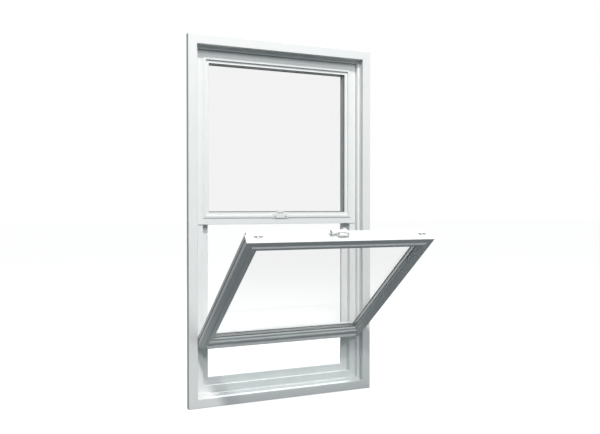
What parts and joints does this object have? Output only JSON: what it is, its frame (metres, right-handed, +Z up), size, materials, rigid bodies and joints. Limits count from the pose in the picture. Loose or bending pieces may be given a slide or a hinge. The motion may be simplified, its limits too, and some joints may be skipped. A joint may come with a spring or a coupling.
{
  "type": "tilt-in sash window",
  "caption": "White vinyl single-hung window with double glazing, a fixed upper sash and a lower sash that slides up and tilts into the room.",
  "frame": {"origin": "middle of the flat seat under the sill, behind the front flange, halfway between the flange's back and the outside face", "axes": "+X to the right seen from the room, +Y from the room to the outside, +Z up"},
  "size_m": [0.762, 0.5825, 1.372],
  "materials": {
    "vinyl": "smooth white vinyl, low sheen",
    "glass": "clear float glass",
    "spacer_bar": "dull grey",
    "zinc_steel": "zinc plated",
    "nylon": "moulded, matt",
    "pile": "woven pile",
    "seal": "soft vinyl bulb"
  },
  "bodies": {
    "frame": {"frame_head": "vinyl", "frame_sill": "vinyl", "frame_jamb_left": "vinyl", "frame_jamb_right": "vinyl", "hole_caps": "vinyl", "upper_rail_top": "vinyl", "upper_check_rail": "vinyl", "upper_stile_left": "vinyl", "upper_stile_right": "vinyl", "upper_bead_top": "vinyl", "upper_bead_bottom": "vinyl", "upper_bead_left": "vinyl", "upper_bead_right": "vinyl", "upper_glass_inner": "glass", "upper_glass_outer": "glass", "upper_spacer": "spacer_bar", "upper_sash_screws": "zinc_steel", "lock_keeper": "vinyl", "keeper_screws": "zinc_steel", "balance_tube_left": "nylon", "balance_tube_right": "nylon", "balance_screws": "zinc_steel"},
    "carriage": {"balance_shoe_left": "nylon", "balance_shoe_right": "nylon", "balance_rod_left": "zinc_steel", "balance_rod_right": "zinc_steel"},
    "lower_sash": {"lower_rail_top": "vinyl", "lower_rail_bottom": "vinyl", "lower_stile_left": "vinyl", "lower_stile_right": "vinyl", "lower_bead_top": "vinyl", "lower_bead_bottom": "vinyl", "lower_bead_left": "vinyl", "lower_bead_right": "vinyl", "lower_glass_inner": "glass", "lower_glass_outer": "glass", "lower_spacer": "spacer_bar", "pile_strip_left": "pile", "pile_strip_right": "pile", "check_pile_strip": "pile", "sill_seal": "seal", "pivot_bar_left": "zinc_steel", "pivot_bar_right": "zinc_steel", "latch_housing_left": "vinyl", "latch_housing_right": "vinyl", "lock_base": "vinyl", "lock_screws": "zinc_steel"},
    "latch_left": {"latch_slide_left": "nylon"},
    "latch_right": {"latch_slide_right": "nylon"},
    "lock_turn": {"lock_lever": "vinyl", "lock_cam": "zinc_steel"}
  },
  "joints": [
    {"name": "sash_slide", "type": "slide", "parent": "frame", "child": "carriage", "axis": [0, 0, 1], "range_m": [-0.179, 0.42]},
    {"name": "sash_tilt", "type": "hinge", "parent": "carriage", "child": "lower_sash", "pos_m": [0, -0.0375, 0.2257], "axis": [1, 0, 0], "range_deg": [-51.3, 38.7]},
    {"name": "latch_left_slide", "type": "slide", "parent": "lower_sash", "child": "latch_left", "axis": [-1, 0, 0], "range_m": [0, 0.008]},
    {"name": "latch_right_slide", "type": "slide", "parent": "lower_sash", "child": "latch_right", "axis": [1, 0, 0], "range_m": [0, 0.008]},
    {"name": "lock_turn", "type": "hinge", "parent": "lower_sash", "child": "lock_turn", "pos_m": [0, -0.53338, 0.63835], "axis": [0, -0.7804, 0.6252], "range_deg": [0, 160]}
  ]
}
